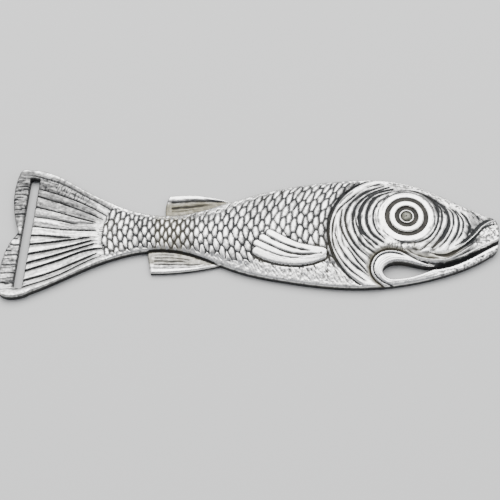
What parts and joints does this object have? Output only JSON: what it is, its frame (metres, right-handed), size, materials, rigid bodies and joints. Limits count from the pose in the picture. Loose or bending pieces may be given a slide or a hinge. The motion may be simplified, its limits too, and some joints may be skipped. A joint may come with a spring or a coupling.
{
  "type": "fish-shaped bottle opener",
  "caption": "Flat-backed cast fish with carved scales, a slotted tail and an open mouth with a hard lower jaw that lifts a bottle cap.",
  "frame": {"origin": "middle of the fish's outline, on the plane of its flat back", "axes": "+X from the tail to the nose, +Y from the belly to the back of the fish, +Z out of its carved face"},
  "size_m": [0.1499, 0.0429, 0.0052],
  "materials": {
    "cast_pewter": "polished cast pewter with dark patina in its grooves",
    "hook_steel": "satin, with fine drawn lines",
    "darkened_brass": "oxidised, dark olive brown",
    "bright_pewter": "polished",
    "rivet_steel": "satin, lightly darkened"
  },
  "bodies": {
    "root": {"fish_casting": "cast_pewter", "opener_hook": "hook_steel", "eye_disc": "darkened_brass", "eye_ring": "bright_pewter", "eye_rivet": "rivet_steel"}
  },
  "joints": []
}
